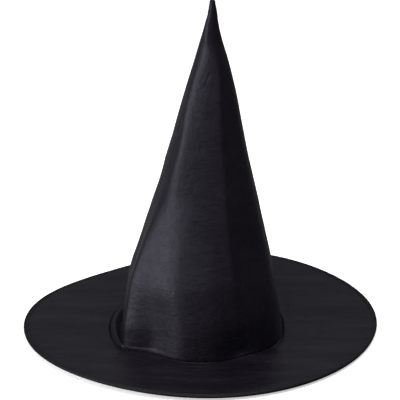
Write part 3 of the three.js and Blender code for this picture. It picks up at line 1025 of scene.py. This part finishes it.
def seam_layer(s_mm, depth):
    """Points round the seam, s_mm up the cloth from it and depth mm inside the crown's middle."""
    i = np.interp(s_mm, _len[: len(_rows)], np.arange(len(_rows)))
    a, f = int(i), i - int(i)
    b = min(a + 1, len(_rows) - 1)
    p = _rows[a] * (1 - f) + _rows[b] * f
    n = _nrms[a] * (1 - f) + _nrms[b] * f
    return p - n * depth


def build_bottom():
    rows = []
    for s in np.linspace(7.6, 0.6, 9):
        rows.append(seam_layer(s, 1.55))
    # flat part
    flat = brim_grid(Z_BOT, np.concatenate([np.linspace(0.0, 0.06, 6, endpoint=False), np.linspace(0.06, 1, 60)]), 0.0)
    # relief of its own, pulled into slanting creases
    for g in flat:
        x, y = g[:, 0], g[:, 1]
        th = np.degrees(np.arctan2(y, x))
        r = np.hypot(x, y)
        inside = smooth(0, 14, r - SEAM(th)) * smooth(0, 12, RIM_R - BIND_W - r)
        w = 0.30 * noise2(x / 40 + 9, y / 40 + 3, 31)
        a = th * D2R + 0.9 * (r - 95) / 95
        w = w + 0.42 * noise2(a * 9 / TAU * 2 + 20, r / 60, 32, 0) * hump(th, 150, 80)
        w = w + 0.42 * noise2(a * 9 / TAU * 2 + 50, r / 60, 33, 0) * hump(th, 320, 80)
        g[:, 2] += np.clip(w * inside, -0.35, 0.45)
    rows = np.concatenate([np.array(rows), flat[0:]])
    # the turned-up allowance joins the flat part directly, from its last row to the first flat row
    return rows


bot_grid = build_bottom()
brim_bottom = new_mesh(
    "brim_bottom_cloth", bot_grid.reshape(-1, 3), grid_faces(len(bot_grid), BRIM_COLS, True), bot_grid.reshape(-1, 3)[:, :2] * MM
)
face_out(brim_bottom, lambda c: (0, 0, -1))
solidify(brim_bottom, 0.38, 0.0)
paint(brim_bottom, M_BRIM)
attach(brim_bottom, "hat")
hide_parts("brim_bottom_panel")

stiff = []
for t in np.linspace(0.03, 0.99, 30):
    rs = SEAM(_th) + 0.75
    rr = RIM_R + RIM_DR(_th) - 3.6
    r = rs + (rr - rs) * t
    x, y = r * np.cos(_th * D2R), r * np.sin(_th * D2R)
    stiff.append(np.stack([x, y, 2.0 + brim_wave(x, y)], -1))
stiff = np.array(stiff)
brim_stiff = new_mesh("brim_interlining_web", stiff.reshape(-1, 3), grid_faces(len(stiff), BRIM_COLS, True), stiff.reshape(-1, 3)[:, :2] * MM)
face_out(brim_stiff, lambda c: (0, 0, 1))
solidify(brim_stiff, 0.55, 0.0)
paint(brim_stiff, M_FELT)
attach(brim_stiff, "hat")
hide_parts("brim_interlining")


def ring_tube(profile_pts, cols=BRIM_COLS, closed_profile=True, name="ring"):
    """Sweeps a profile of (distance in from the rim, height) round the rim."""
    th = np.arange(cols) * 360 / cols
    rows = [rim_point(th, dr, z) for dr, z in profile_pts]
    if closed_profile:
        rows.append(rows[0])
    g = np.array(rows)
    return g


# binding: tape folded over the wire and the brim's edge. Distance in from the rim, height.
def binding_profile():
    outer = [(5.6, 3.52), (5.15, 3.54), (4.5, 3.36), (4.0, 3.14), (3.55, 3.30), (3.1, 3.68), (2.5, 3.93), (1.8, 3.98), (1.0, 3.70), (0.4, 3.10), (0.08, 2.4), (0.0, 2.0),
             (0.08, 1.6), (0.4, 0.92), (1.0, 0.36), (1.8, 0.10), (2.5, 0.16), (3.1, 0.42), (3.6, 0.60), (4.0, 0.68), (4.4, 0.60), (5.0, 0.50), (5.6, 0.50)]
    inner = [(dr + 0.02 if i in (0, len(outer) - 1) else dr, z) for i, (dr, z) in enumerate(outer)]
    o = np.array(outer)
    t = np.gradient(o, axis=0)
    n = np.stack([t[:, 1], -t[:, 0]], -1)
    n /= np.linalg.norm(n, axis=1)[:, None]
    c = np.array([3.0, 2.0])
    flip = np.sign(((c - o) * n).sum(1))
    i = o + n * flip[:, None] * 0.28
    return outer, [tuple(q) for q in i]


b_out, b_in = binding_profile()
b_loop = b_out + b_in[::-1]
TCOLS = 480
th_b = np.arange(TCOLS) * 360 / TCOLS
rows = []
for dr, z in b_loop:
    ripple = 0.10 * noise2(th_b / 360 * 150, dr * 0.25 + 2, 41, 150) * np.clip((dr - 1.2) / 2, 0, 1)
    rows.append(rim_point(th_b, dr, z + (ripple if z > 2 else -0 * ripple)))
rows.append(rows[0])
bind_grid = np.array(rows)[:-1]
nb = len(bind_grid)
faces = []
for i in range(nb):
    i2 = (i + 1) % nb
    for j in range(TCOLS):
        j2 = (j + 1) % TCOLS
        faces.append((i * TCOLS + j, i * TCOLS + j2, i2 * TCOLS + j2, i2 * TCOLS + j))
binding = new_mesh("brim_edge_tape", bind_grid.reshape(-1, 3), faces)
paint(binding, M_TAPE)
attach(binding, "hat")
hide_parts("brim_edge_binding")

# stitches of the binding, above and below
paths = []
N_ST = 350
for k in range(N_ST):
    a0 = k * 360 / N_ST
    span = 360 / N_ST * 0.80
    a = a0 + np.linspace(0, span, 6)
    arch = np.sin(np.linspace(0, np.pi, 6)) ** 0.5
    paths.append(rim_point(a, STITCH_IN + 0.0 * a, 3.22 + 0.16 * arch))
    paths.append(rim_point(a + 180 / N_ST, STITCH_IN + 0.0 * a, 0.60 - 0.16 * arch))
bstitch = seg_tube(paths, 0.17, 6, True, "brim_binding_stitches")
paint(bstitch, M_THREAD)
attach(bstitch, "hat")
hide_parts("brim_binding_stitching")

# hoop wire and its sleeve
WIRE_IN = 2.4
half_gap = math.degrees(1.0 / (RIM_R - WIRE_IN))
a = np.linspace(90 + half_gap, 450 - half_gap, 360)
wire = seg_tube([rim_point(a, WIRE_IN + 0 * a, 2.0 + 0 * a)], 0.6, 12, False, "hoop_wire")
paint(wire, M_STEEL)
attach(wire, "hat")
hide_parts("brim_hoop_wire")


def build_sleeve():
    half = math.degrees(10.0 / (RIM_R - WIRE_IN))
    a = np.linspace(90 - half, 90 + half, 41)
    centre = rim_point(a, WIRE_IN + 0 * a, 2.0 + 0 * a)
    t = np.gradient(centre, axis=0)
    t /= np.linalg.norm(t, axis=1)[:, None]
    up = np.array([0, 0, 1.0])
    side = np.cross(t, up)
    side /= np.linalg.norm(side, axis=1)[:, None]
    upv = np.cross(side, t)
    sides = 20
    verts, faces = [], []
    x = np.linspace(-1, 1, 41)
    crimp = sum(0.26 * np.exp(-(((x - c) / 0.10) ** 2)) for c in (-0.55, 0.55))
    flare = 0.10 * np.clip(np.abs(x) - 0.9, 0, 1) / 0.1
    for wall in (0, 1):
        for i in range(41):
            for k in range(sides):
                g = TAU * k / sides
                r = (1.15 if wall == 0 else 0.86) + flare[i]
                flat = 1 - crimp[i] * (0.55 if wall == 0 else 0.38) * abs(math.sin(g)) ** 2
                verts.append(centre[i] + side[i] * r * math.cos(g) + upv[i] * r * flat * math.sin(g))
    n = 41 * sides
    for i in range(40):
        for k in range(sides):
            k2 = (k + 1) % sides
            faces.append((i * sides + k, i * sides + k2, (i + 1) * sides + k2, (i + 1) * sides + k))
            faces.append((n + i * sides + k2, n + i * sides + k, n + (i + 1) * sides + k, n + (i + 1) * sides + k2))
    for i, flip in ((0, False), (40, True)):
        for k in range(sides):
            k2 = (k + 1) % sides
            f = (i * sides + k2, i * sides + k, n + i * sides + k, n + i * sides + k2)
            faces.append(f[::-1] if flip else f)
    return new_mesh("hoop_sleeve", verts, faces)


sleeve = build_sleeve()
paint(sleeve, M_SLEEVE)
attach(sleeve, "hat")
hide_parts("brim_hoop_ferrule")

# --------------------------------------------------------------------------------------------
# Head seam: tape and its stitches
# --------------------------------------------------------------------------------------------


def build_head_tape():
    prof = []
    for s in np.linspace(1.2, 8.4, 8):
        prof.append((s, 0.62))
    for a in (-60, -30, 0, 30, 60):
        prof.append((8.5 + 0.55 * math.cos(a * D2R), 1.32 + 0.70 * math.sin(a * D2R)))
    for s in np.linspace(8.4, 1.6, 8):
        prof.append((s, 2.02))
    rows = [seam_layer(s, d + 0.05 * np.sin(_th * D2R * 40) * (d > 1.5)[..., None] if hasattr(d, "shape") else d) for s, d in prof]
    return np.array(rows)


tape_grid = build_head_tape()
head_tape = new_mesh("head_seam_tape", tape_grid.reshape(-1, 3), grid_faces(len(tape_grid), BRIM_COLS, True))
solidify(head_tape, 0.26, 0.0)
paint(head_tape, M_TAPE)
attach(head_tape, "hat")
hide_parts("head_seam_binding")

paths = []
row_p = seam_layer(3.0, 2.32)
N_HS = 168
closed = np.concatenate([row_p, row_p[:1]])
idx = np.arange(BRIM_COLS + 1)
for k in range(N_HS):
    q = (k + np.linspace(0.06, 0.86, 6)) / N_HS * BRIM_COLS
    paths.append(np.stack([np.interp(q, idx, closed[:, c]) for c in range(3)], -1))
head_st = seg_tube(paths, 0.18, 6, True, "head_seam_stitches")
paint(head_st, M_THREAD)
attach(head_st, "hat")
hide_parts("head_seam_stitching")

# --------------------------------------------------------------------------------------------
# Crown interlining, seam thread, allowance in the tip
# --------------------------------------------------------------------------------------------


def build_lining():
    r0 = int(np.searchsorted(_len, 17.0))
    r1 = int(np.searchsorted(CROWN[:, 0, 2], 345.0))
    sel = np.arange(r0, r1, 2)
    g = crown_offset(1.35)[sel]
    # it keeps clear of the seam allowance at the back
    u = _u
    z = g[..., 2]
    s = _len[sel][:, None]
    n = NORMAL[sel]
    wob = 0.45 + 0.45 * noise2(u[None] * 12, s / 60, 51, 12) + 0.18 * noise2(u[None] * 40, s / 16, 52, 40)
    g = g - n * np.clip(wob, 0.0, 1.6)[..., None] * np.clip((s - 17) / 20, 0, 1)[..., None] * np.clip((345 - z) / 60, 0, 1)[..., None]
    # uneven lower edge
    edge = 1.6 * noise2(u * 16, u * 0 + 0.5, 53, 16)
    w = np.clip(1 - np.arange(len(sel)) / 8.0, 0, 1)[:, None]
    g[..., 2] += edge[None] * w
    per = np.linalg.norm(np.diff(g, axis=1), axis=-1).sum(1)
    # leave out the columns nearest the back seam
    keep = []
    lo, hi = 3, COLS - 3
    g = g[:, lo : hi + 1]
    uv = crown_uv(0, np.broadcast_to(s, g.shape[:2]), np.broadcast_to(u[lo : hi + 1][None], g.shape[:2]))
    return new_mesh("crown_interlining_web", g.reshape(-1, 3), grid_faces(g.shape[0], g.shape[1], False), uv.reshape(-1, 2))


lining = build_lining()
solidify(lining, 0.35, 0.0)
paint(lining, M_FELT)
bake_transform(lining)
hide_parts("crown_interlining_lower", "crown_interlining_fold", "crown_interlining_tip")


def build_seam_thread():
    """Lockstitches through the pair of allowances, just inside the back seam."""
    back = CROWN[:, 0]
    nrm = NORMAL[:, 0]
    tang = CROWN[:, 1] - CROWN[:, 0]
    tang /= np.linalg.norm(tang, axis=-1)[:, None]
    paths = []
    length = _len[-1] - 22
    n = int(length / 2.6)
    for side in (-1, 1):
        for k in range(n):
            q = 14 + (k + (0.5 if side > 0 else 0)) * 2.6 + np.linspace(0.15, 2.2, 5)
            p = np.stack([np.interp(q, _len, back[:, c]) for c in range(3)], -1)
            m = np.stack([np.interp(q, _len, nrm[:, c]) for c in range(3)], -1)
            t = np.stack([np.interp(q, _len, tang[:, c]) for c in range(3)], -1)
            paths.append(p - m * 1.15 + t * side * 0.62)
    return seg_tube(paths, 0.14, 6, True, "crown_seam_stitches")


cthread = build_seam_thread()
paint(cthread, M_THREAD)
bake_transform(cthread)
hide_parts("crown_seam_thread_lower", "crown_seam_thread_fold", "crown_seam_thread_tip")


def build_tip_allowance():
    """The cloth ends bunched inside the point: a pleated wad."""
    z = np.linspace(349.5, 373.5, 26)
    cols = 72
    rows = []
    a = np.arange(cols) * TAU / cols
    for zz in z:
        i = int(np.argmin(np.abs(CROWN[:, 0, 2] - zz)))
        c = CROWN[i].mean(0)
        rad = np.linalg.norm((CROWN[i] - c)[:, :2], axis=1).min() - 1.3
        t = (zz - z[0]) / (z[-1] - z[0])
        rad *= 0.96 - 0.10 * math.cos(t * 3)
        pleat = 0.10 * np.sin(a * 6 + 5 * t) + 0.07 * np.sin(a * 11 - 7 * t) + 0.10 * noise2(a / TAU * 8, t * 6, 61, 8)
        end = math.sqrt(max(0.0, 1 - max(0, (0.12 - t) / 0.12) ** 2)) * math.sqrt(max(0.0, 1 - max(0, (t - 0.9) / 0.1) ** 2))
        r = max(rad, 0.4) * (0.9 + pleat) * max(end, 0.12)
        rows.append(np.stack([c[0] + r * np.cos(a), c[1] + r * np.sin(a), np.full(cols, zz)], -1))
    g = np.array(rows)
    verts = g.reshape(-1, 3).tolist()
    faces = grid_faces(len(z), cols, True)
    c0, c1 = len(verts), len(verts) + 1
    verts.append((g[0].mean(0) - [0, 0, 0.3]).tolist())
    verts.append((g[-1].mean(0) + [0, 0, 0.3]).tolist())
    for j in range(cols):
        j2 = (j + 1) % cols
        faces.append((c0, j2, j))
        faces.append((c1, (len(z) - 1) * cols + j, (len(z) - 1) * cols + j2))
    ob = new_mesh("tip_allowance_wad", verts, faces, np.array(verts)[:, [0, 2]] * MM)
    return ob


wad = build_tip_allowance()
paint(wad, M_CROWN)
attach(wad, "crown_tip")
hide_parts("tip_seam_allowance")

# --------------------------------------------------------------------------------------------
# Stage, lights, camera
# --------------------------------------------------------------------------------------------

scene = bpy.context.scene
scene.view_settings.view_transform = "Standard"
scene.view_settings.look = "None"

fm = bpy.data.meshes.new("floor")
F = 3.0
fm.from_pydata([(-F, -F, 0), (F, -F, 0), (F, F, 0), (-F, F, 0)], [], [(0, 1, 2, 3)])
floor = bpy.data.objects.new("floor", fm)
scene.collection.objects.link(floor)
fl = Nodes("pale floor")
fl.b.inputs["Roughness"].default_value = 0.9
fl.b.inputs["Specular IOR Level"].default_value = 0.1
n = fl.noise(fl.obj((1, 1, 1)), 3.0, 3.0)
fl.link(fl.ramp(n, [(0.3, (0.90, 0.90, 0.905)), (0.7, (0.93, 0.93, 0.935))]), fl.b.inputs["Base Color"])
fl.b.inputs["Emission Color"].default_value = (1.0, 1.0, 1.0, 1)
fl.b.inputs["Emission Strength"].default_value = 0.55
fm.materials.append(fl.m)
floor.visible_glossy = False

world = bpy.data.worlds.new("studio")
scene.world = world
world.use_nodes = True
wt = world.node_tree
bg = wt.nodes["Background"]
bg.inputs[0].default_value = (1.0, 1.0, 1.0, 1)
# rays from the camera see a white backdrop; the object sees a dim room that is darker to the right
tc = wt.nodes.new("ShaderNodeTexCoord")
sep = wt.nodes.new("ShaderNodeSeparateXYZ")
wt.links.new(tc.outputs["Generated"], sep.inputs[0])


def world_ramp(axis, lo, hi, a, b):
    n = wt.nodes.new("ShaderNodeMapRange")
    n.interpolation_type = "SMOOTHSTEP"
    n.inputs["From Min"].default_value = lo
    n.inputs["From Max"].default_value = hi
    n.inputs["To Min"].default_value = a
    n.inputs["To Max"].default_value = b
    wt.links.new(sep.outputs[axis], n.inputs["Value"])
    return n.outputs[0]


room = wt.nodes.new("ShaderNodeMath")
room.operation = "ADD"
behind = wt.nodes.new("ShaderNodeMath")
behind.operation = "MULTIPLY"
wt.links.new(world_ramp("Y", 0.0, 0.9, 0.0, 0.17), behind.inputs[0])
wt.links.new(world_ramp("X", 0.05, 0.75, 1.0, 0.05), behind.inputs[1])
# low down the room behind is plain; above, it is dark near the horizon and bright higher up
height = wt.nodes.new("ShaderNodeValToRGB")
stops = [(0.0, 1.5), (0.44, 1.4), (0.52, 0.45), (0.58, 0.40), (0.82, 1.9), (1.0, 1.9)]
while len(height.color_ramp.elements) < len(stops):
    height.color_ramp.elements.new(0.5)
for el, (at, v) in zip(height.color_ramp.elements, stops):
    el.position = at
for el, (at, v) in zip(height.color_ramp.elements, stops):
    el.color = (v, v, v, 1)
half = wt.nodes.new("ShaderNodeMapRange")
half.inputs["From Min"].default_value = -1.0
wt.links.new(sep.outputs["Z"], half.inputs["Value"])
wt.links.new(half.outputs[0], height.inputs["Fac"])
tall = wt.nodes.new("ShaderNodeMath")
tall.operation = "MULTIPLY"
wt.links.new(behind.outputs[0], tall.inputs[0])
wt.links.new(height.outputs["Color"], tall.inputs[1])
wt.links.new(tall.outputs[0], room.inputs[0])
wt.links.new(world_ramp("X", -1.0, 0.1, 0.07, 0.02), room.inputs[1])
lp = wt.nodes.new("ShaderNodeLightPath")
mr = wt.nodes.new("ShaderNodeMix")
mr.data_type = "FLOAT"
wt.links.new(lp.outputs["Is Camera Ray"], mr.inputs["Factor"])
wt.links.new(room.outputs[0], mr.inputs["A"])
mr.inputs["B"].default_value = 1.0
wt.links.new(mr.outputs["Result"], bg.inputs[1])


def area(name, loc, target, size, power, color=(1, 1, 1), size_y=None):
    ld = bpy.data.lights.new(name, "AREA")
    ld.energy = power
    ld.color = color
    ld.size = size
    if size_y:
        ld.shape = "RECTANGLE"
        ld.size_y = size_y
    ob = bpy.data.objects.new(name, ld)
    scene.collection.objects.link(ob)
    ob.location = loc
    ob.rotation_mode = "QUATERNION"
    ob.rotation_quaternion = (Vector(target) - Vector(loc)).to_track_quat("-Z", "Y")
    return ob


area("key", (-1.38, -0.62, 0.46), (0, 0, 0.12), 1.2, 25.0, (1.0, 1.0, 1.0), 0.85)
area("top", (0.0, -0.9, 2.3), (0, 0, 0), 2.0, 80)
area("right", (1.3, 1.1, 0.9), (0.05, 0, 0.0), 0.6, 2.5, (1.0, 1.0, 1.0), 0.6)

ELEV = 22.8 * D2R
DIST = 8.0
cam_data = bpy.data.cameras.new("camera")
cam = bpy.data.objects.new("camera", cam_data)
scene.collection.objects.link(cam)
aim = Vector((-0.0016, 0.0, 0.1527))
back = Vector((0.0, -math.cos(ELEV), math.sin(ELEV)))
cam.location = aim + back * DIST
cam.rotation_mode = "QUATERNION"
cam.rotation_quaternion = (-back).to_track_quat("-Z", "Y")
cam_data.sensor_width = 36.0
cam_data.lens = 36.0 * DIST / (400 / 930.0)
cam_data.clip_start, cam_data.clip_end = 0.05, 60
cam_data.dof.use_dof = False
scene.camera = cam
